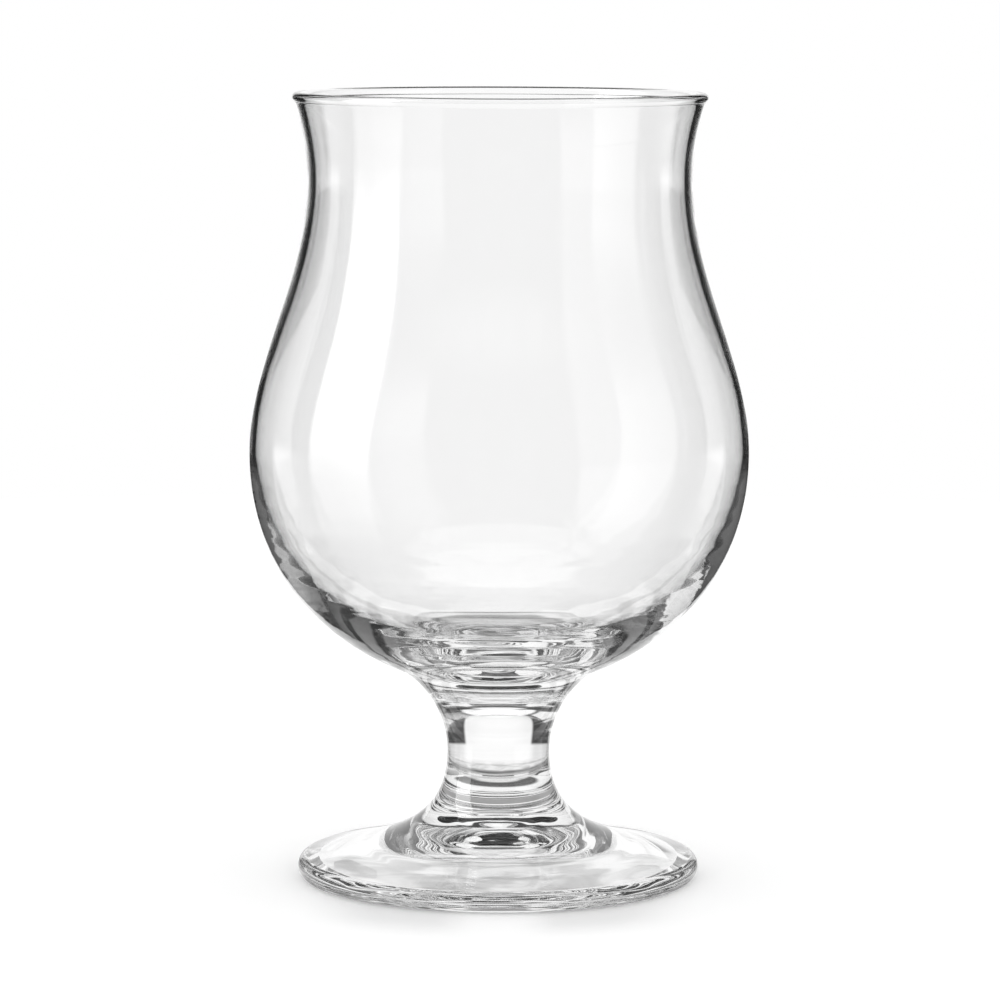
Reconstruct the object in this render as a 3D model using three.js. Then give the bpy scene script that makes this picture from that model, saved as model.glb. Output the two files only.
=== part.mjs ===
// Short-stemmed tulip tasting glass: a blown bowl fused to a solid stem, and the stem fused to a round foot.
// Millimetres, +Z up, the origin at the centre of the foot's resting ring.
import * as THREE from "three";

// Whole glass
const GLASS_HEIGHT = 106;

// Foot
const FOOT_RADIUS = 27.15;
const FOOT_EDGE_ROUND = 1.5;
const FOOT_SLOPE_DEG = 13.1;
const FOOT_SHOULDER_INSET = 3.7;
const FOOT_SHOULDER_PULL = 5.8;
const HOLLOW_HEIGHT = 5.6;
const HOLLOW_TIP_PULL = 5;
const REST_RING_WIDTH = 2;

// Seam between the foot and the stem
const SEAM_RADIUS = 10;
const SEAM_HEIGHT = 8.95;
const SEAM_SLOPE_DEG = 43.8;
const SEAM_PULL_OUT = 4.1;
const SEAM_PULL_UP = 2.75;

// Stem, each height counted from the one below it
const WAIST_RADIUS = 6.9;
const WAIST_RISE = 8.25;
const WAIST_PULL_DOWN = 3.75;
const WAIST_PULL_UP = 4.75;
const STEM_TOP_SLOPE_DEG = 30.4;
const STEM_TOP_PULL = 4.1;

// Bowl outside, the belly counted from the joint and the neck from the top
const JOINT_RADIUS = 13.25;
const JOINT_RISE = 11.2;
const JOINT_SLOPE_DEG = 21.4;
const JOINT_PULL = 7.5;
const BELLY_RADIUS = 33.6;
const BELLY_RISE = 29.4;
const BELLY_PULL_DOWN = 18.7;
const BELLY_PULL_UP = 11.7;
const NECK_RADIUS = 25.75;
const NECK_DROP = 11.8;
const NECK_PULL_DOWN = 12.4;
const NECK_PULL_UP = 3.8;

// Rim, with an oval bead that stands out of the leaning wall
const RIM_RADIUS = 27.8;
const RIM_LEAN_DEG = 17.3;
const RIM_PULL = 3.9;
const BEAD_HALF_WIDTH = 0.72;
const BEAD_HALF_HEIGHT = 0.66;
const BEAD_PROUD = 0.19;
const BEAD_FILLET_DROP = 0.7;
const BEAD_FILLET_PULL = 0.14;
const BEAD_TURN_OUT_DEG = 36;
const BEAD_TURN_IN_DEG = 26;

// Bowl inside
const RIM_WALL = 1.12;
const INNER_RIM_PULL = 3.8;
const NECK_WALL = 1.1;
const INNER_NECK_PULL_UP = 3.6;
const INNER_NECK_PULL_DOWN = 13.8;
const BELLY_WALL = 0.84;
const INNER_BELLY_LIFT = 0.1;
const INNER_BELLY_PULL_UP = 12.1;
const INNER_BELLY_PULL_DOWN = 8.6;
const BASE_THICKNESS = 2.1;
const INNER_BASE_PULL = 27.4;

// Mesh fineness
const TURNS = 48;
const CURVE_STEPS = 8;

// Heights that follow from the sizes above
const WAIST_HEIGHT = SEAM_HEIGHT + WAIST_RISE;
const JOINT_HEIGHT = WAIST_HEIGHT + JOINT_RISE;
const BELLY_HEIGHT = JOINT_HEIGHT + BELLY_RISE;
const NECK_HEIGHT = GLASS_HEIGHT - NECK_DROP;

// Clear glass, one material for each piece.
function clearGlass(name) {
  const material = new THREE.MeshStandardMaterial({
    color: 0xf2f6f5,
    roughness: 0.03,
    metalness: 0,
    transparent: true,
    opacity: 0.35,
  });
  material.name = name;
  return material;
}

// A point some way along a line that rises at an angle, outwards when the distance is positive.
function along(radius, height, degrees, distance) {
  const angle = THREE.MathUtils.degToRad(degrees);
  return [radius + distance * Math.cos(angle), height + distance * Math.sin(angle)];
}

// A solid of revolution about +Z from profile points of radius and height.
function turned(name, points) {
  const geometry = new THREE.LatheGeometry(points, TURNS);
  geometry.rotateX(Math.PI / 2);
  const mesh = new THREE.Mesh(geometry, clearGlass(`${name}_glass`));
  mesh.name = name;
  return mesh;
}

function makeFoot() {
  const slope = THREE.MathUtils.degToRad(FOOT_SLOPE_DEG);
  const edgeCentre = [FOOT_RADIUS - FOOT_EDGE_ROUND, FOOT_EDGE_ROUND];
  const edgeTop = along(...edgeCentre, 90 - FOOT_SLOPE_DEG, FOOT_EDGE_ROUND);
  const shoulderRadius = FOOT_RADIUS - FOOT_SHOULDER_INSET;
  const shoulder = [shoulderRadius, edgeTop[1] + (edgeTop[0] - shoulderRadius) * Math.tan(slope)];
  const ringInside = edgeCentre[0] - REST_RING_WIDTH;
  const profile = new THREE.Path();
  profile.moveTo(0, HOLLOW_HEIGHT);
  profile.quadraticCurveTo(HOLLOW_TIP_PULL, HOLLOW_HEIGHT, ringInside, 0);
  profile.lineTo(edgeCentre[0], 0);
  profile.absarc(...edgeCentre, FOOT_EDGE_ROUND, -Math.PI / 2, Math.PI / 2 - slope, false);
  profile.lineTo(...shoulder);
  profile.bezierCurveTo(
    ...along(...shoulder, 180 - FOOT_SLOPE_DEG, FOOT_SHOULDER_PULL),
    ...along(SEAM_RADIUS, SEAM_HEIGHT, -SEAM_SLOPE_DEG, SEAM_PULL_OUT),
    SEAM_RADIUS, SEAM_HEIGHT,
  );
  profile.lineTo(0, SEAM_HEIGHT);
  return turned("foot", profile.getPoints(CURVE_STEPS));
}

function makeStem() {
  const profile = new THREE.Path();
  profile.moveTo(0, SEAM_HEIGHT);
  profile.lineTo(SEAM_RADIUS, SEAM_HEIGHT);
  profile.bezierCurveTo(
    ...along(SEAM_RADIUS, SEAM_HEIGHT, -SEAM_SLOPE_DEG, -SEAM_PULL_UP),
    WAIST_RADIUS, WAIST_HEIGHT - WAIST_PULL_DOWN,
    WAIST_RADIUS, WAIST_HEIGHT,
  );
  profile.bezierCurveTo(
    WAIST_RADIUS, WAIST_HEIGHT + WAIST_PULL_UP,
    ...along(JOINT_RADIUS, JOINT_HEIGHT, STEM_TOP_SLOPE_DEG, -STEM_TOP_PULL),
    JOINT_RADIUS, JOINT_HEIGHT,
  );
  profile.lineTo(0, JOINT_HEIGHT);
  return turned("stem", profile.getPoints(CURVE_STEPS));
}

// The rim's bead: an oval that leans with the wall, with the places where its fillets meet it and the wall.
function layOutBead() {
  const lean = THREE.MathUtils.degToRad(RIM_LEAN_DEG);
  const reachOut = Math.hypot(BEAD_HALF_WIDTH * Math.cos(lean), BEAD_HALF_HEIGHT * Math.sin(lean));
  const reachUp = Math.hypot(BEAD_HALF_WIDTH * Math.sin(lean), BEAD_HALF_HEIGHT * Math.cos(lean));
  const centre = [RIM_RADIUS - reachOut, GLASS_HEIGHT - reachUp];
  const upWall = 90 - RIM_LEAN_DEG;
  const place = (out, up) => along(...along(...centre, -RIM_LEAN_DEG, out), upWall, up);
  const onBead = (angle) => place(BEAD_HALF_WIDTH * Math.cos(angle), BEAD_HALF_HEIGHT * Math.sin(angle));
  const besideBead = (angle, distance) => {
    const [out, up] = [-BEAD_HALF_WIDTH * Math.sin(angle), BEAD_HALF_HEIGHT * Math.cos(angle)];
    const share = distance / Math.hypot(out, up);
    const beadOut = BEAD_HALF_WIDTH * Math.cos(angle);
    const beadUp = BEAD_HALF_HEIGHT * Math.sin(angle);
    return place(beadOut + out * share, beadUp + up * share);
  };
  const wallOut = BEAD_HALF_WIDTH - BEAD_PROUD;
  const startAngle = -THREE.MathUtils.degToRad(BEAD_TURN_OUT_DEG);
  const endAngle = Math.PI + THREE.MathUtils.degToRad(BEAD_TURN_IN_DEG);
  return {
    centre,
    lean,
    upWall,
    startAngle,
    endAngle,
    start: onBead(startAngle),
    beforeStart: besideBead(startAngle, -BEAD_FILLET_PULL),
    end: onBead(endAngle),
    afterEnd: besideBead(endAngle, BEAD_FILLET_PULL),
    wallOutside: place(wallOut, -BEAD_FILLET_DROP),
    wallInside: place(wallOut - RIM_WALL, -BEAD_FILLET_DROP),
  };
}

function makeBowl() {
  const bead = layOutBead();
  const innerBelly = [BELLY_RADIUS - BELLY_WALL, BELLY_HEIGHT + INNER_BELLY_LIFT];
  const innerBase = JOINT_HEIGHT + BASE_THICKNESS;
  const innerNeck = NECK_RADIUS - NECK_WALL;
  const profile = new THREE.Path();
  profile.moveTo(0, JOINT_HEIGHT);
  profile.lineTo(JOINT_RADIUS, JOINT_HEIGHT);
  profile.bezierCurveTo(
    ...along(JOINT_RADIUS, JOINT_HEIGHT, JOINT_SLOPE_DEG, JOINT_PULL),
    BELLY_RADIUS, BELLY_HEIGHT - BELLY_PULL_DOWN,
    BELLY_RADIUS, BELLY_HEIGHT,
  );
  profile.bezierCurveTo(
    BELLY_RADIUS, BELLY_HEIGHT + BELLY_PULL_UP,
    NECK_RADIUS, NECK_HEIGHT - NECK_PULL_DOWN,
    NECK_RADIUS, NECK_HEIGHT,
  );
  profile.bezierCurveTo(
    NECK_RADIUS, NECK_HEIGHT + NECK_PULL_UP,
    ...along(...bead.wallOutside, bead.upWall, -RIM_PULL),
    ...bead.wallOutside,
  );
  profile.bezierCurveTo(
    ...along(...bead.wallOutside, bead.upWall, BEAD_FILLET_PULL),
    ...bead.beforeStart,
    ...bead.start,
  );
  profile.absellipse(
    ...bead.centre, BEAD_HALF_WIDTH, BEAD_HALF_HEIGHT,
    bead.startAngle, bead.endAngle, false, -bead.lean,
  );
  profile.bezierCurveTo(
    ...bead.afterEnd,
    ...along(...bead.wallInside, bead.upWall, BEAD_FILLET_PULL),
    ...bead.wallInside,
  );
  profile.bezierCurveTo(
    ...along(...bead.wallInside, bead.upWall, -INNER_RIM_PULL),
    innerNeck, NECK_HEIGHT + INNER_NECK_PULL_UP,
    innerNeck, NECK_HEIGHT,
  );
  profile.bezierCurveTo(
    innerNeck, NECK_HEIGHT - INNER_NECK_PULL_DOWN,
    innerBelly[0], innerBelly[1] + INNER_BELLY_PULL_UP,
    ...innerBelly,
  );
  profile.bezierCurveTo(
    innerBelly[0], innerBelly[1] - INNER_BELLY_PULL_DOWN,
    INNER_BASE_PULL, innerBase,
    0, innerBase,
  );
  return turned("bowl", profile.getPoints(CURVE_STEPS));
}

const group = new THREE.Group();
group.name = "tasting_glass";
group.add(makeFoot(), makeStem(), makeBowl());

export default group;
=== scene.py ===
import math

import bmesh
import bpy
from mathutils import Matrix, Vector


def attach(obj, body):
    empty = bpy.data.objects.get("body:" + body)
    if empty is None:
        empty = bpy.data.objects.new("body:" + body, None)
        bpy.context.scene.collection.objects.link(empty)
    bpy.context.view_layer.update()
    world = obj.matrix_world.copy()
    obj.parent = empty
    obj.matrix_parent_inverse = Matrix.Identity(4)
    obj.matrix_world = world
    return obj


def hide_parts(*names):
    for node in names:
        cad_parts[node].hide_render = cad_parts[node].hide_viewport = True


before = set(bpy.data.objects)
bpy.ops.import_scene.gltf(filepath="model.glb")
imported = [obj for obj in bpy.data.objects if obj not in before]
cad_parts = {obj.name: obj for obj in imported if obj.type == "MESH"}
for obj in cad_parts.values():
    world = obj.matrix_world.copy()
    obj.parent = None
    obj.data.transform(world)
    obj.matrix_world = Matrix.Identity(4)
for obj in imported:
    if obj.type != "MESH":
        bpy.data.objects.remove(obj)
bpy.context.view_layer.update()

# A clear tasting glass of three fused pieces, in a plain white studio.
# Sizes are millimetres, as in the part's own source, and MM turns them into metres.
# A pair of numbers is a span: where something starts and where it ends.
MM = 0.001

# Whole glass
GLASS_HEIGHT = 106

# Foot
FOOT_RADIUS = 27.15
FOOT_EDGE_ROUND = 1.5
FOOT_SLOPE_DEG = 13.1
FOOT_SHOULDER_INSET = 3.7
FOOT_SHOULDER_PULL = 5.8
HOLLOW_HEIGHT = 5.6
HOLLOW_TIP_PULL = 5
REST_RING_WIDTH = 2

# Seam between the foot and the stem
SEAM_RADIUS = 10
SEAM_HEIGHT = 8.95
SEAM_SLOPE_DEG = 43.8
SEAM_PULL_OUT = 4.1
SEAM_PULL_UP = 2.75

# Stem, each height counted from the one below it
WAIST_RADIUS = 6.9
WAIST_RISE = 8.25
WAIST_PULL_DOWN = 3.75
WAIST_PULL_UP = 4.75
STEM_TOP_SLOPE_DEG = 30.4
STEM_TOP_PULL = 4.1

# Bowl outside, the belly counted from the joint and the neck from the top
JOINT_RADIUS = 13.25
JOINT_RISE = 11.2
JOINT_SLOPE_DEG = 21.4
JOINT_PULL = 7.5
BELLY_RADIUS = 33.6
BELLY_RISE = 29.4
BELLY_PULL_DOWN = 18.7
BELLY_PULL_UP = 11.7
NECK_RADIUS = 25.75
NECK_DROP = 11.8
NECK_PULL_DOWN = 12.4
NECK_PULL_UP = 3.8

# Rim, with an oval bead that stands out of the leaning wall
RIM_RADIUS = 27.8
RIM_LEAN_DEG = 17.3
RIM_PULL = 3.9
BEAD_HALF_WIDTH = 0.72
BEAD_HALF_HEIGHT = 0.66
BEAD_PROUD = 0.19
BEAD_FILLET_DROP = 0.7
BEAD_FILLET_PULL = 0.14
BEAD_TURN_OUT_DEG = 36
BEAD_TURN_IN_DEG = 26

# Bowl inside
RIM_WALL = 1.12
INNER_RIM_PULL = 3.8
NECK_WALL = 1.1
INNER_NECK_PULL_UP = 3.6
INNER_NECK_PULL_DOWN = 13.8
BELLY_WALL = 0.84
INNER_BELLY_LIFT = 0.1
INNER_BELLY_PULL_UP = 12.1
INNER_BELLY_PULL_DOWN = 8.6
BASE_THICKNESS = 2.1
INNER_BASE_PULL = 27.4

# Heights that follow from the sizes above
WAIST_HEIGHT = SEAM_HEIGHT + WAIST_RISE
JOINT_HEIGHT = WAIST_HEIGHT + JOINT_RISE
BELLY_HEIGHT = JOINT_HEIGHT + BELLY_RISE
NECK_HEIGHT = GLASS_HEIGHT - NECK_DROP

# Mesh fineness
BOWL_TURNS = 300
SOLID_TURNS = 512
CURVE_STEPS = 36
FINE_STEPS = 60
FILLET_STEPS = 10
LINE_STEPS = 6
CORNER_DEG = 8
ON_AXIS = 1e-6

# How far the blown and pressed surfaces stray from true, and the length over which that fades out.
# A ripple is its turns round the glass, its pitch along the profile, its shift and its share.
BOWL_UNEVENNESS = 0.04
BOWL_AXIS_FADE = 6
BOWL_OUTSIDE_UNEVENNESS = 0.03
BOWL_JOINT_FADE = 4
FOOT_UNEVENNESS = 0.05
FOOT_AXIS_FADE = 4
FOOT_RING_FADE = 3
RIPPLES = ((0, 1.7, 0.0, 0.5), (0, 2.9, 2.0, 0.2), (3, 0.9, 1.0, 0.2), (7, -1.3, 0.5, 0.1))

# Glass, with the faint waves and the breath of haze on its surface, and the material slots of a piece
GLASS_IOR = 1.52
WAVE_HEIGHT = 0.4
WAVE_SCALE = 110
WAVE_DETAIL = 1
BOWL_WAVINESS = 0.04
STEM_WAVINESS = 0.05
FOOT_WAVINESS = 0.03
HAZE_SCALE = 45
HAZE_DETAIL = 4
HAZE_SPAN = (0.45, 0.7)
HAZE_ROUGHNESS = 0.015
GLASS = 0
FUSED = 1
WHITE = (1, 1, 1, 1)

# Rays are told apart by their counts of reflections and refractions, so a limit lies between whole counts
NONE_YET = 0.5
TWO_WALLS = 2.5

# Lit panel behind the glass and its wider sweep under the clear table, with turns from straight behind
PANEL_CENTRE = 0.98
PANEL_EDGE = 0.9
PANEL_EVEN_DEG = 8
PANEL_TURN_DEG = 29
PANEL_TOP_DEG = 41
PANEL_SOFT_DEG = 2
HORIZON_DEG = -2
BELOW_DEG = (-4, 0)
SWEEP_SIDE = 0.78
SWEEP_SIDE_BY_WALLS = 1.0
SWEEP_SIDE_DEG = (26, 36)
SWEEP_END_DEG = (60, 85)
SWEEP_BOTTOM_DEG = -34

# Soft boxes left, right and overhead, and the dim room
DIM_ROOM = 0.05
BOX_BOTTOM_DEG = (-44, -20)
BOX_TOP_DEG = (52, 58)
LEFT_BOX = 0.9
LEFT_BOX_TURN_DEG = (-118, -83)
LEFT_BOX_SOFT_DEG = 1.5
LEFT_BOX_GLARE = 4.5
GLARE_DEG = (-14, 26)
RIGHT_BOX = 0.45
RIGHT_BOX_TABLE = 0.25
RIGHT_BOX_TURN_DEG = (92, 143)
RIGHT_BOX_SOFT_DEG = 2
RIGHT_BOX_FADE = 0.3
RIGHT_BOX_FADE_DEG = (90, 125)
TOP_BOX = 1.05
TOP_BOX_DEG = (57, 63)
FRONT_ROOM = 0.15
FRONT_ROOM_DEG = (80, 160)
THROUGH = 0.95
THROUGH_WALLS_DEG = (65, 75)
THROUGH_ANY_DEG = (100, 110)

# Dark flags behind the glass: one on each side, one behind the bowl and one behind the stem
FLAG_DISTANCE = 60
SIDE_FLAG_INSIDE = 44
SIDE_FLAG_OUTSIDE = 130
SIDE_FLAG_HEIGHTS = (-30, 260)
MIDDLE_FLAG_HALF_WIDTH = 20
MIDDLE_FLAG_HEIGHTS = (60, 88)
LOW_FLAG_HALF_WIDTH = 12
LOW_FLAG_HEIGHTS = (6, 45)
FLAG_GREY = 0.02

# Light that the glass throws on the table: rings behind, and patches with a shaded crevice in front
RING_DARK = 0.12
RING_BRIGHT = 1.0
RING_PITCH = 15
RING_STEP = (-0.8, 0.0)
RING_DRIFT = 4
RING_DRIFT_SCALE = 45
RING_DRIFT_DETAIL = 1
RING_FRONT = (-9, 1)
RING_STRAIGHT = 0.25
PATCH_DARK = 0.55
PATCH_BRIGHT = 0.9
PATCH_SCALE = 100
PATCH_DETAIL = 2
PATCH_DISTORTION = 1.2
PATCH_SPAN = (0.35, 0.65)
CREVICE_INSIDE = (23, 26)
CREVICE_OUTSIDE = (34, 40)
CREVICE_SHARE = 0.25
TABLE_EDGE = (40, 70)

# White floor, with painted shade in its colour close to the foot
FLOOR_RADIUS = 450
FLOOR_SEGMENTS = 128
FLOOR_DROP = 0.05
FLOOR_LIFT = 0.13
FLOOR_WHITE = 0.99
CONTACT_SHADE = 0.18
CONTACT_EDGE = (32, 43)
CONTACT_INSIDE = (2, 9)
CONTACT_OUTSIDE = (15, 27)

# Camera, fitted to the photograph's outline
CAMERA_PLACE = (-0.1, -622.9, 124.2)
CAMERA_TILT_DEG = 6.682
CAMERA_ROLL_DEG = 0.174
CAMERA_LENS = 167.6
SENSOR = 36.0

# How far light is followed through the thick glass
ALL_BOUNCES = 96
GLASS_BOUNCES = 64
CLEAR_BOUNCES = 32


def along(point, degrees, distance):
    """The point some way along a line that rises at an angle, outwards when the distance is positive."""
    angle = math.radians(degrees)
    return (point[0] + distance * math.cos(angle), point[1] + distance * math.sin(angle))


def bezier(start, pull_start, pull_end, end, steps=CURVE_STEPS):
    """Points of a cubic curve, both ends included."""
    points = []
    for step in range(steps + 1):
        t = step / steps
        weights = ((1 - t) ** 3, 3 * t * (1 - t) ** 2, 3 * t * t * (1 - t), t ** 3)
        controls = (start, pull_start, pull_end, end)
        points.append(tuple(sum(w * c[k] for w, c in zip(weights, controls)) for k in (0, 1)))
    return points


def quadratic(start, pull, end, steps):
    """Points of a quadratic curve, written as the cubic curve that it equals."""
    first = tuple(a + (p - a) * 2 / 3 for a, p in zip(start, pull))
    second = tuple(b + (p - b) * 2 / 3 for b, p in zip(end, pull))
    return bezier(start, first, second, end, steps)


def arc(centre, radius, start_deg, end_deg):
    """Points of a circular arc, both ends included."""
    turn = (end_deg - start_deg) / CURVE_STEPS
    return [along(centre, start_deg + turn * step, radius) for step in range(CURVE_STEPS + 1)]


def line(start, end):
    """Evenly spaced points of a straight line, both ends included."""
    steps = range(LINE_STEPS + 1)
    return [tuple(a + (b - a) * step / LINE_STEPS for a, b in zip(start, end)) for step in steps]


def ripple(angle, way):
    """A slow unevenness between -1 and 1: rings along the profile, and weaker waves round the glass."""
    height = 0
    for turns, pitch, shift, share in RIPPLES:
        height += share * math.sin(turns * angle + pitch * way + shift)
    return height


def below_belly(height):
    """Nought from the belly up, rising to one at the bowl's joint."""
    return min(max((BELLY_HEIGHT - height) / (BELLY_HEIGHT - JOINT_HEIGHT), 0.0), 1.0)


def bowl_unevenness(radius, height):
    """Most near the base and none on the axis."""
    return BOWL_UNEVENNESS * below_belly(height) * min(radius / BOWL_AXIS_FADE, 1.0)


def bowl_outside_unevenness(radius, height):
    """Less of it outside, and none at the joint."""
    fade = min((height - JOINT_HEIGHT) / BOWL_JOINT_FADE, 1.0)
    return BOWL_OUTSIDE_UNEVENNESS * below_belly(height) * fade


def foot_unevenness(radius, height):
    """None on the axis and none at the resting ring."""
    ring_inside = FOOT_RADIUS - FOOT_EDGE_ROUND - REST_RING_WIDTH
    fade = min((ring_inside - radius) / FOOT_RING_FADE, 1.0)
    return FOOT_UNEVENNESS * min(radius / FOOT_AXIS_FADE, 1.0) * fade


def true_surface(radius, height):
    """No unevenness anywhere."""
    return 0.0


def add_ring(mesh, turns, before, point, after, uneven):
    """One circle of vertices, or one on the axis, moved a little in or out where the glass is uneven."""
    radius, height = point
    if radius < ON_AXIS:
        return [mesh.verts.new((0, 0, height * MM))]
    run, rise = after[0] - before[0], after[1] - before[1]
    length = math.hypot(run, rise)
    most = uneven(radius, height)
    ring = []
    for turn in range(turns):
        angle = 2 * math.pi * turn / turns
        step = most * ripple(angle, radius + height)
        out, up = radius + step * rise / length, height - step * run / length
        ring.append(mesh.verts.new((out * math.cos(angle) * MM, out * math.sin(angle) * MM, up * MM)))
    return ring


def add_band(mesh, turns, lower, upper, slot):
    """The faces between two neighbouring circles of the profile."""
    for turn in range(turns):
        after = (turn + 1) % turns
        if len(lower) == 1:
            corners = (lower[0], upper[after], upper[turn])
        elif len(upper) == 1:
            corners = (lower[turn], lower[after], upper[0])
        else:
            corners = (lower[turn], lower[after], upper[after], upper[turn])
        face = mesh.faces.new(corners)
        face.material_index = slot
        face.smooth = True


def has_corner(before, after):
    """Whether the profile turns sharply where one run ends and the next one starts."""
    arriving = math.atan2(before[-1][1] - before[-2][1], before[-1][0] - before[-2][0])
    leaving = math.atan2(after[1][1] - after[0][1], after[1][0] - after[0][0])
    return abs(math.remainder(leaving - arriving, 2 * math.pi)) > math.radians(CORNER_DEG)


def add_object(name, mesh):
    """A finished mesh as an object of the scene."""
    data = bpy.data.meshes.new(name)
    mesh.to_mesh(data)
    mesh.free()
    piece = bpy.data.objects.new(name, data)
    bpy.context.scene.collection.objects.link(piece)
    return piece


def turned(name, turns, runs):
    """A closed solid of revolution. A run is a smooth stretch of profile, its slot and its unevenness."""
    mesh = bmesh.new()
    first = runs[0][0]
    ring = add_ring(mesh, turns, first[0], first[0], first[1], runs[0][2])
    creases = []
    for number, (points, slot, uneven) in enumerate(runs):
        if number and has_corner(runs[number - 1][0], points):
            creases.append(ring)
        for index in range(1, len(points)):
            after = points[min(index + 1, len(points) - 1)]
            following = add_ring(mesh, turns, points[index - 1], points[index], after, uneven)
            add_band(mesh, turns, ring, following, slot)
            ring = following
    for crease in creases:
        for turn in range(turns):
            edge = mesh.edges.get((crease[turn], crease[(turn + 1) % turns]))
            edge.smooth = False
    return add_object(name, mesh)


def make_foot():
    """The round foot, with its hollow underside, resting ring, rounded edge and sloping top."""
    edge_centre = (FOOT_RADIUS - FOOT_EDGE_ROUND, FOOT_EDGE_ROUND)
    edge_top = along(edge_centre, 90 - FOOT_SLOPE_DEG, FOOT_EDGE_ROUND)
    shoulder_radius = FOOT_RADIUS - FOOT_SHOULDER_INSET
    fall = math.tan(math.radians(FOOT_SLOPE_DEG))
    shoulder = (shoulder_radius, edge_top[1] + (edge_top[0] - shoulder_radius) * fall)
    seam = (SEAM_RADIUS, SEAM_HEIGHT)
    ring_inside = (edge_centre[0] - REST_RING_WIDTH, 0)
    ring_outside = (edge_centre[0], 0)
    hollow = quadratic((0, HOLLOW_HEIGHT), (HOLLOW_TIP_PULL, HOLLOW_HEIGHT), ring_inside, FINE_STEPS)
    outside = line(ring_inside, ring_outside)
    outside += arc(edge_centre, FOOT_EDGE_ROUND, -90, 90 - FOOT_SLOPE_DEG)[1:]
    outside += line(edge_top, shoulder)[1:]
    outside += bezier(
        shoulder,
        along(shoulder, 180 - FOOT_SLOPE_DEG, FOOT_SHOULDER_PULL),
        along(seam, -SEAM_SLOPE_DEG, SEAM_PULL_OUT),
        seam,
        FINE_STEPS,
    )[1:]
    return turned("foot_glass", SOLID_TURNS, [
        (hollow, GLASS, foot_unevenness),
        (outside, GLASS, true_surface),
        (line(seam, (0, SEAM_HEIGHT)), FUSED, true_surface),
    ])


def make_stem():
    """The solid stem between the seam and the bowl's joint."""
    seam = (SEAM_RADIUS, SEAM_HEIGHT)
    joint = (JOINT_RADIUS, JOINT_HEIGHT)
    waist = (WAIST_RADIUS, WAIST_HEIGHT)
    lower = bezier(
        seam,
        along(seam, -SEAM_SLOPE_DEG, -SEAM_PULL_UP),
        (WAIST_RADIUS, WAIST_HEIGHT - WAIST_PULL_DOWN),
        waist,
        FINE_STEPS,
    )
    upper = bezier(
        waist,
        (WAIST_RADIUS, WAIST_HEIGHT + WAIST_PULL_UP),
        along(joint, STEM_TOP_SLOPE_DEG, -STEM_TOP_PULL),
        joint,
        FINE_STEPS,
    )
    return turned("stem_glass", SOLID_TURNS, [
        (line((0, SEAM_HEIGHT), seam), FUSED, true_surface),
        (lower + upper[1:], GLASS, true_surface),
        (line(joint, (0, JOINT_HEIGHT)), FUSED, true_surface),
    ])


def rim_place(out, up):
    """A point of the rim, given from the bead's centre across and up the leaning wall."""
    lean = math.radians(RIM_LEAN_DEG)
    reach_out = math.hypot(BEAD_HALF_WIDTH * math.cos(lean), BEAD_HALF_HEIGHT * math.sin(lean))
    reach_up = math.hypot(BEAD_HALF_WIDTH * math.sin(lean), BEAD_HALF_HEIGHT * math.cos(lean))
    centre = (RIM_RADIUS - reach_out, GLASS_HEIGHT - reach_up)
    return along(along(centre, -RIM_LEAN_DEG, out), 90 - RIM_LEAN_DEG, up)


def bead_place(degrees, distance=0.0):
    """A point of the oval bead, or some way along its tangent there."""
    angle = math.radians(degrees)
    out, up = BEAD_HALF_WIDTH * math.cos(angle), BEAD_HALF_HEIGHT * math.sin(angle)
    run_out, run_up = -BEAD_HALF_WIDTH * math.sin(angle), BEAD_HALF_HEIGHT * math.cos(angle)
    share = distance / math.hypot(run_out, run_up)
    return rim_place(out + run_out * share, up + run_up * share)


def rim_bead(wall_outside, wall_inside):
    """The bead with its two fillets, from the outer wall over the top to the inner wall."""
    up_wall = 90 - RIM_LEAN_DEG
    start_deg, end_deg = -BEAD_TURN_OUT_DEG, 180 + BEAD_TURN_IN_DEG
    turn = (end_deg - start_deg) / CURVE_STEPS
    points = bezier(
        wall_outside,
        along(wall_outside, up_wall, BEAD_FILLET_PULL),
        bead_place(start_deg, -BEAD_FILLET_PULL),
        bead_place(start_deg),
        FILLET_STEPS,
    )
    points += [bead_place(start_deg + turn * step) for step in range(1, CURVE_STEPS + 1)]
    points += bezier(
        bead_place(end_deg),
        bead_place(end_deg, BEAD_FILLET_PULL),
        along(wall_inside, up_wall, BEAD_FILLET_PULL),
        wall_inside,
        FILLET_STEPS,
    )[1:]
    return points


def bowl_outside(wall_outside):
    """The outer profile from the joint over belly and neck to the rim's bead."""
    joint = (JOINT_RADIUS, JOINT_HEIGHT)
    belly = (BELLY_RADIUS, BELLY_HEIGHT)
    neck = (NECK_RADIUS, NECK_HEIGHT)
    points = bezier(
        joint,
        along(joint, JOINT_SLOPE_DEG, JOINT_PULL),
        (BELLY_RADIUS, BELLY_HEIGHT - BELLY_PULL_DOWN),
        belly,
        FINE_STEPS,
    )
    points += bezier(
        belly,
        (BELLY_RADIUS, BELLY_HEIGHT + BELLY_PULL_UP),
        (NECK_RADIUS, NECK_HEIGHT - NECK_PULL_DOWN),
        neck,
    )[1:]
    points += bezier(
        neck,
        (NECK_RADIUS, NECK_HEIGHT + NECK_PULL_UP),
        along(wall_outside, 90 - RIM_LEAN_DEG, -RIM_PULL),
        wall_outside,
    )[1:]
    return points


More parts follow.
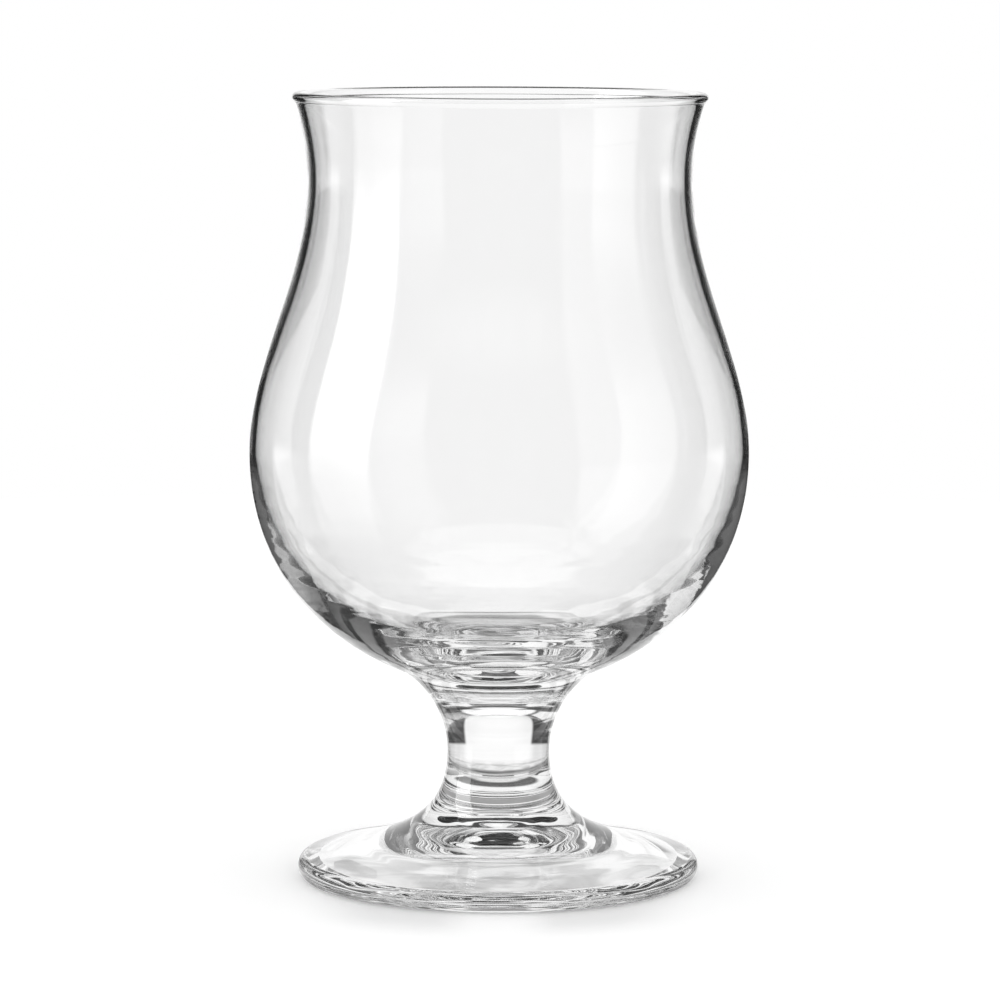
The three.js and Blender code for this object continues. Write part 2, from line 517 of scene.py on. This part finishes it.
def bowl_inside(wall_inside):
    """The inner profile from the rim's bead down to the middle of the base."""
    neck = (NECK_RADIUS - NECK_WALL, NECK_HEIGHT)
    belly = (BELLY_RADIUS - BELLY_WALL, BELLY_HEIGHT + INNER_BELLY_LIFT)
    base_height = JOINT_HEIGHT + BASE_THICKNESS
    points = bezier(
        wall_inside,
        along(wall_inside, 90 - RIM_LEAN_DEG, -INNER_RIM_PULL),
        (neck[0], NECK_HEIGHT + INNER_NECK_PULL_UP),
        neck,
    )
    points += bezier(
        neck,
        (neck[0], NECK_HEIGHT - INNER_NECK_PULL_DOWN),
        (belly[0], belly[1] + INNER_BELLY_PULL_UP),
        belly,
    )[1:]
    points += bezier(
        belly,
        (belly[0], belly[1] - INNER_BELLY_PULL_DOWN),
        (INNER_BASE_PULL, base_height),
        (0, base_height),
        FINE_STEPS,
    )[1:]
    return points


def make_bowl():
    """The blown bowl with its real wall, its neck and its rim."""
    wall_out = BEAD_HALF_WIDTH - BEAD_PROUD
    wall_outside = rim_place(wall_out, -BEAD_FILLET_DROP)
    wall_inside = rim_place(wall_out - RIM_WALL, -BEAD_FILLET_DROP)
    outside = bowl_outside(wall_outside) + rim_bead(wall_outside, wall_inside)[1:]
    return turned("bowl_glass", BOWL_TURNS, [
        (line((0, JOINT_HEIGHT), (JOINT_RADIUS, JOINT_HEIGHT)), FUSED, true_surface),
        (outside, GLASS, bowl_outside_unevenness),
        (bowl_inside(wall_inside), GLASS, bowl_unevenness),
    ])


def new_material(name):
    """A material with its node tree."""
    material = bpy.data.materials.new(name)
    material.use_nodes = True
    return material, material.node_tree


def add_node(tree, kind, **settings):
    """A shader node with its settings."""
    node = tree.nodes.new(kind)
    for key, value in settings.items():
        setattr(node, key, value)
    return node


def math_node(tree, operation, first, second=None, third=None):
    """A Math node whose inputs are sockets or plain numbers."""
    node = add_node(tree, "ShaderNodeMath", operation=operation)
    for socket, value in zip(node.inputs, (first, second, third)):
        if value is None:
            continue
        if isinstance(value, (int, float)):
            socket.default_value = value
        else:
            tree.links.new(value, socket)
    return node.outputs[0]


def mix_shaders(tree, share, first, second):
    """The first shader where the share is nought, and the second where it is one."""
    node = add_node(tree, "ShaderNodeMixShader")
    for socket, value in zip(node.inputs, (share, first, second)):
        tree.links.new(value, socket)
    return node.outputs[0]


def noise(tree, place, scale, detail, distortion=0.0):
    """Soft noise between nought and one."""
    node = add_node(tree, "ShaderNodeTexNoise")
    tree.links.new(place, node.inputs["Vector"])
    node.inputs["Scale"].default_value = scale
    node.inputs["Detail"].default_value = detail
    node.inputs["Distortion"].default_value = distortion
    return node.outputs["Fac"]


def in_radians(span_deg):
    """A span of degrees in radians."""
    return [math.radians(end) for end in span_deg]


def in_metres(span):
    """A span of millimetres in metres."""
    return [end * MM for end in span]


def ramp(tree, value, span, at_start, at_end):
    """A smooth step from one number to another as the value goes through a span."""
    node = add_node(tree, "ShaderNodeMapRange", interpolation_type="SMOOTHSTEP")
    tree.links.new(value, node.inputs["Value"])
    node.inputs["From Min"].default_value = span[0]
    node.inputs["From Max"].default_value = span[1]
    node.inputs["To Min"].default_value = at_start
    node.inputs["To Max"].default_value = at_end
    return node.outputs["Result"]


def band(tree, value, low_deg, high_deg, soft_deg):
    """One inside a range of degrees and nought outside it, with soft ends."""
    rise = ramp(tree, value, in_radians((low_deg - soft_deg, low_deg + soft_deg)), 0.0, 1.0)
    fall = ramp(tree, value, in_radians((high_deg - soft_deg, high_deg + soft_deg)), 1.0, 0.0)
    return math_node(tree, "MULTIPLY", rise, fall)


def clear_glass(name, waviness):
    """Clear polished glass with the faint waves of its making, and a breath of haze here and there."""
    material, tree = new_material(name)
    shader = tree.nodes["Principled BSDF"]
    shader.inputs["Base Color"].default_value = WHITE
    shader.inputs["IOR"].default_value = GLASS_IOR
    shader.inputs["Transmission Weight"].default_value = 1.0
    place = add_node(tree, "ShaderNodeTexCoord").outputs["Object"]
    bump = add_node(tree, "ShaderNodeBump")
    bump.inputs["Strength"].default_value = waviness
    bump.inputs["Distance"].default_value = WAVE_HEIGHT * MM
    tree.links.new(noise(tree, place, WAVE_SCALE, WAVE_DETAIL), bump.inputs["Height"])
    tree.links.new(bump.outputs["Normal"], shader.inputs["Normal"])
    haze = noise(tree, place, HAZE_SCALE, HAZE_DETAIL)
    roughness = ramp(tree, haze, HAZE_SPAN, 0.0, HAZE_ROUGHNESS)
    tree.links.new(roughness, shader.inputs["Roughness"])
    return material


def fused_joint():
    """Where two pieces are melted into one there is no surface to see, so light goes straight on."""
    material, tree = new_material("fused_joint")
    tree.nodes.clear()
    clear = add_node(tree, "ShaderNodeBsdfTransparent")
    output = add_node(tree, "ShaderNodeOutputMaterial")
    tree.links.new(clear.outputs[0], output.inputs["Surface"])
    return material


def dress(piece, node, material, joint):
    """Gives a piece its glass and its melted seams, and puts it in the place of its node."""
    piece.data.materials.append(material)
    piece.data.materials.append(joint)
    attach(piece, "root")
    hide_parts(node)


def count_test(tree, count, operation, limit):
    """One where a ray's count of bounces of one kind is above or below a limit, else nought."""
    path = add_node(tree, "ShaderNodeLightPath")
    return math_node(tree, operation, path.outputs[count], limit)


def glass_rays(tree):
    """One for what shows by way of the glass, and nought for what shows beside it and for room light."""
    path = add_node(tree, "ShaderNodeLightPath")
    direct = count_test(tree, "Diffuse Depth", "LESS_THAN", NONE_YET)
    return math_node(tree, "MULTIPLY", path.outputs["Is Glossy Ray"], direct)


def was_reflected(tree):
    """One for what has been mirrored at least once."""
    return count_test(tree, "Glossy Depth", "GREATER_THAN", NONE_YET)


def by_two_walls(tree):
    """One for what shows through more than one wall of glass."""
    return count_test(tree, "Transmission Depth", "GREATER_THAN", TWO_WALLS)


def panel_above(tree, turn, rise):
    """The lit panel itself, a little darker towards its edges."""
    aside = math_node(tree, "ABSOLUTE", turn)
    light = ramp(tree, aside, in_radians((PANEL_EVEN_DEG, PANEL_TURN_DEG)), PANEL_CENTRE, PANEL_EDGE)
    across = band(tree, turn, -PANEL_TURN_DEG, PANEL_TURN_DEG, PANEL_SOFT_DEG)
    upwards = band(tree, rise, HORIZON_DEG, PANEL_TOP_DEG, PANEL_SOFT_DEG)
    return math_node(tree, "MULTIPLY", math_node(tree, "MULTIPLY", light, across), upwards)


def panel_sweep(tree, turn, rise):
    """Its wider sweep below the horizon, darker to the sides unless two walls of glass show it."""
    aside = math_node(tree, "ABSOLUTE", turn)
    side = math_node(
        tree, "MULTIPLY_ADD",
        by_two_walls(tree), SWEEP_SIDE_BY_WALLS - SWEEP_SIDE, SWEEP_SIDE - PANEL_CENTRE,
    )
    to_side = ramp(tree, aside, in_radians(SWEEP_SIDE_DEG), 0.0, 1.0)
    light = math_node(tree, "MULTIPLY_ADD", to_side, side, PANEL_CENTRE)
    across = ramp(tree, aside, in_radians(SWEEP_END_DEG), 1.0, 0.0)
    upwards = band(tree, rise, SWEEP_BOTTOM_DEG, HORIZON_DEG, PANEL_SOFT_DEG)
    return math_node(tree, "MULTIPLY", math_node(tree, "MULTIPLY", light, across), upwards)


def left_box(tree, turn, rise, height):
    """The left soft box, which glares only where the glass's first surface mirrors it."""
    place = math_node(tree, "MULTIPLY", band(tree, turn, *LEFT_BOX_TURN_DEG, LEFT_BOX_SOFT_DEG), height)
    glare = ramp(tree, rise, in_radians(GLARE_DEG), 0.0, LEFT_BOX_GLARE)
    first_surface = count_test(tree, "Transmission Depth", "LESS_THAN", NONE_YET)
    strength = math_node(tree, "MULTIPLY_ADD", glare, first_surface, LEFT_BOX)
    return math_node(tree, "MULTIPLY", place, strength)


def right_box(tree, turn, rise, height):
    """The right soft box, fading towards the back, with the light that it leaves on the table."""
    place = math_node(tree, "MULTIPLY", band(tree, turn, *RIGHT_BOX_TURN_DEG, RIGHT_BOX_SOFT_DEG), height)
    fade = ramp(tree, turn, in_radians(RIGHT_BOX_FADE_DEG), RIGHT_BOX_FADE, 1.0)
    below = ramp(tree, rise, in_radians(BELOW_DEG), 1.0, 0.0)
    strength = math_node(tree, "MULTIPLY_ADD", below, RIGHT_BOX_TABLE, RIGHT_BOX)
    return math_node(tree, "MULTIPLY", math_node(tree, "MULTIPLY", place, fade), strength)


def room_lights(tree, turn, rise):
    """The soft boxes, the light overhead, the dim room and its lighter front."""
    bottom = ramp(tree, rise, in_radians(BOX_BOTTOM_DEG), 0.0, 1.0)
    top = ramp(tree, rise, in_radians(BOX_TOP_DEG), 1.0, 0.0)
    height = math_node(tree, "MULTIPLY", bottom, top)
    overhead = ramp(tree, rise, in_radians(TOP_BOX_DEG), 0.0, 1.0)
    aside = math_node(tree, "ABSOLUTE", turn)
    ahead = ramp(tree, aside, in_radians(FRONT_ROOM_DEG), 0.0, 1.0)
    seen = math_node(tree, "ADD", left_box(tree, turn, rise, height), DIM_ROOM)
    seen = math_node(tree, "ADD", right_box(tree, turn, rise, height), seen)
    seen = math_node(tree, "MULTIPLY_ADD", overhead, TOP_BOX, seen)
    return math_node(tree, "MULTIPLY_ADD", ahead, FRONT_ROOM, seen)


def seen_through(tree, turn):
    """One for what shows straight through the glass towards the sides and the front."""
    straight = count_test(tree, "Glossy Depth", "LESS_THAN", NONE_YET)
    aside = math_node(tree, "ABSOLUTE", turn)
    wide = ramp(tree, aside, in_radians(THROUGH_WALLS_DEG), 0.0, 1.0)
    by_walls = math_node(tree, "MULTIPLY", by_two_walls(tree), wide)
    any_glass = ramp(tree, aside, in_radians(THROUGH_ANY_DEG), 0.0, 1.0)
    return math_node(tree, "MULTIPLY", straight, math_node(tree, "MAXIMUM", by_walls, any_glass))


def make_world():
    """White for the camera and as room light. The glass shows the studio instead."""
    world = bpy.data.worlds.new("studio")
    bpy.context.scene.world = world
    world.use_nodes = True
    tree = world.node_tree
    background = tree.nodes["Background"]
    place = add_node(tree, "ShaderNodeTexCoord")
    split = add_node(tree, "ShaderNodeSeparateXYZ")
    tree.links.new(place.outputs["Generated"], split.inputs[0])
    turn = math_node(tree, "ARCTAN2", split.outputs["X"], split.outputs["Y"])
    rise = math_node(tree, "ARCSINE", split.outputs["Z"])
    panel = math_node(tree, "ADD", panel_above(tree, turn, rise), panel_sweep(tree, turn, rise))
    seen = math_node(tree, "ADD", panel, room_lights(tree, turn, rise))
    through = math_node(tree, "MULTIPLY", seen_through(tree, turn), THROUGH)
    seen = math_node(tree, "MAXIMUM", seen, through)
    by_glass = glass_rays(tree)
    plain = math_node(tree, "SUBTRACT", 1.0, by_glass)
    strength = math_node(tree, "MULTIPLY_ADD", seen, by_glass, plain)
    background.inputs["Color"].default_value = WHITE
    tree.links.new(strength, background.inputs["Strength"])


def flag_grey():
    """Almost black where the glass mirrors it, and nothing at all straight through or as room light.

    The flags in the middle show only in the light that has gone into the glass."""
    material, tree = new_material("black_flag")
    tree.nodes.clear()
    grey = add_node(tree, "ShaderNodeEmission")
    grey.inputs["Strength"].default_value = FLAG_GREY
    clear = add_node(tree, "ShaderNodeBsdfTransparent")
    place = add_node(tree, "ShaderNodeTexCoord")
    split = add_node(tree, "ShaderNodeSeparateXYZ")
    tree.links.new(place.outputs["Object"], split.inputs[0])
    aside = math_node(tree, "ABSOLUTE", split.outputs["X"])
    at_side = math_node(tree, "GREATER_THAN", aside, MIDDLE_FLAG_HALF_WIDTH * MM)
    inside = count_test(tree, "Transmission Depth", "GREATER_THAN", NONE_YET)
    shown = math_node(tree, "MULTIPLY", was_reflected(tree), math_node(tree, "MAXIMUM", inside, at_side))
    shown = math_node(tree, "MULTIPLY", glass_rays(tree), shown)
    output = add_node(tree, "ShaderNodeOutputMaterial")
    tree.links.new(mix_shaders(tree, shown, clear.outputs[0], grey.outputs[0]), output.inputs["Surface"])
    return material


def add_flag(mesh, left, right, heights):
    """One upright card behind the glass."""
    low, high = heights
    corners = ((left, low), (right, low), (right, high), (left, high))
    mesh.faces.new([mesh.verts.new((across * MM, 0, up * MM)) for across, up in corners])


def make_flags():
    """The dark flags that give clear glass its dark edges and lines."""
    mesh = bmesh.new()
    add_flag(mesh, -SIDE_FLAG_OUTSIDE, -SIDE_FLAG_INSIDE, SIDE_FLAG_HEIGHTS)
    add_flag(mesh, SIDE_FLAG_INSIDE, SIDE_FLAG_OUTSIDE, SIDE_FLAG_HEIGHTS)
    add_flag(mesh, -MIDDLE_FLAG_HALF_WIDTH, MIDDLE_FLAG_HALF_WIDTH, MIDDLE_FLAG_HEIGHTS)
    add_flag(mesh, -LOW_FLAG_HALF_WIDTH, LOW_FLAG_HALF_WIDTH, LOW_FLAG_HEIGHTS)
    flags = add_object("flags", mesh)
    flags.data.materials.append(flag_grey())
    flags.location.y = FLAG_DISTANCE * MM


def table_places(tree):
    """Where a point of the table is, its distance from the glass's axis, and its separate coordinates."""
    place = add_node(tree, "ShaderNodeTexCoord").outputs["Object"]
    length = add_node(tree, "ShaderNodeVectorMath", operation="LENGTH")
    tree.links.new(place, length.inputs[0])
    split = add_node(tree, "ShaderNodeSeparateXYZ")
    tree.links.new(place, split.inputs[0])
    return place, length.outputs["Value"], split.outputs


def light_rings(tree, place, distance):
    """The uneven rings of light and shade that a round glass throws on the table."""
    drift = noise(tree, place, RING_DRIFT_SCALE, RING_DRIFT_DETAIL)
    rings = math_node(tree, "MULTIPLY", distance, 2 * math.pi / (RING_PITCH * MM))
    rings = math_node(tree, "MULTIPLY_ADD", drift, RING_DRIFT, rings)
    return ramp(tree, math_node(tree, "SINE", rings), RING_STEP, RING_DARK, RING_BRIGHT)


def light_patches(tree, place, distance):
    """The softer patches of light in front, with the shade where the foot's edge stands over the table."""
    patches = noise(tree, place, PATCH_SCALE, PATCH_DETAIL, PATCH_DISTORTION)
    light = ramp(tree, patches, PATCH_SPAN, PATCH_DARK, PATCH_BRIGHT)
    inside = ramp(tree, distance, in_metres(CREVICE_INSIDE), 1.0, CREVICE_SHARE)
    outside = ramp(tree, distance, in_metres(CREVICE_OUTSIDE), CREVICE_SHARE, 1.0)
    return math_node(tree, "MULTIPLY", light, math_node(tree, "MAXIMUM", inside, outside))


def table_top(tree):
    """Clear, but for the light that the glass throws on the table round its foot."""
    place, distance, coordinates = table_places(tree)
    behind = ramp(tree, coordinates["Y"], in_metres(RING_FRONT), 0.0, 1.0)
    clearness = math_node(tree, "MULTIPLY_ADD", was_reflected(tree), 1.0 - RING_STRAIGHT, RING_STRAIGHT)
    share = math_node(tree, "MULTIPLY", behind, clearness)
    patches = light_patches(tree, place, distance)
    more = math_node(tree, "SUBTRACT", light_rings(tree, place, distance), patches)
    light = add_node(tree, "ShaderNodeEmission")
    tree.links.new(math_node(tree, "MULTIPLY_ADD", more, share, patches), light.inputs["Strength"])
    clear = add_node(tree, "ShaderNodeBsdfTransparent")
    away = ramp(tree, distance, in_metres(TABLE_EDGE), 0.0, 1.0)
    return mix_shaders(tree, away, light.outputs[0], clear.outputs[0])


def floor_shade(tree):
    """White, with a little more shade painted into its colour close to the foot on both sides of its
    middle.
    """
    distance, coordinates = table_places(tree)[1:]
    aside = math_node(tree, "ABSOLUTE", coordinates["X"])
    close = ramp(tree, distance, in_metres(CONTACT_EDGE), 1.0, 0.0)
    inside = ramp(tree, aside, in_metres(CONTACT_INSIDE), 0.0, 1.0)
    outside = ramp(tree, aside, in_metres(CONTACT_OUTSIDE), 1.0, 0.0)
    shade = math_node(tree, "MULTIPLY", close, math_node(tree, "MULTIPLY", inside, outside))
    return math_node(tree, "MULTIPLY_ADD", shade, -CONTACT_SHADE, FLOOR_WHITE)


def floor_white():
    """Matt white for the camera. The glass sees through it, as through a clear table."""
    material, tree = new_material("white_floor")
    matt = tree.nodes["Principled BSDF"]
    # painted shade: the floor's colour is darker close to the foot's front edge
    tree.links.new(floor_shade(tree), matt.inputs["Base Color"])
    matt.inputs["Roughness"].default_value = 1.0
    matt.inputs["Specular IOR Level"].default_value = 0.0
    matt.inputs["Emission Color"].default_value = WHITE
    path = add_node(tree, "ShaderNodeLightPath")
    lift = math_node(tree, "MULTIPLY", path.outputs["Is Camera Ray"], FLOOR_LIFT)
    tree.links.new(lift, matt.inputs["Emission Strength"])
    mix = mix_shaders(tree, glass_rays(tree), matt.outputs[0], table_top(tree))
    tree.links.new(mix, tree.nodes["Material Output"].inputs["Surface"])
    return material


def make_floor():
    """The round white floor, a hair below the resting ring."""
    mesh = bmesh.new()
    bmesh.ops.create_circle(mesh, cap_ends=True, segments=FLOOR_SEGMENTS, radius=FLOOR_RADIUS * MM)
    floor = add_object("floor", mesh)
    floor.data.materials.append(floor_white())
    floor.location.z = -FLOOR_DROP * MM


def make_camera():
    """The camera at the photograph's place and angle."""
    data = bpy.data.cameras.new("camera")
    data.lens = CAMERA_LENS
    data.sensor_width = SENSOR
    camera = bpy.data.objects.new("camera", data)
    camera.location = Vector(CAMERA_PLACE) * MM
    camera.rotation_euler = (math.radians(90 - CAMERA_TILT_DEG), math.radians(-CAMERA_ROLL_DEG), 0)
    bpy.context.scene.collection.objects.link(camera)
    bpy.context.scene.camera = camera


joint_material = fused_joint()
dress(make_bowl(), "bowl", clear_glass("blown_glass", BOWL_WAVINESS), joint_material)
dress(make_stem(), "stem", clear_glass("drawn_glass", STEM_WAVINESS), joint_material)
dress(make_foot(), "foot", clear_glass("pressed_glass", FOOT_WAVINESS), joint_material)
make_floor()
make_flags()
make_world()
make_camera()

scene = bpy.context.scene
scene.view_settings.view_transform = "Standard"
scene.cycles.max_bounces = ALL_BOUNCES
scene.cycles.transmission_bounces = GLASS_BOUNCES
scene.cycles.glossy_bounces = GLASS_BOUNCES
scene.cycles.transparent_max_bounces = CLEAR_BOUNCES
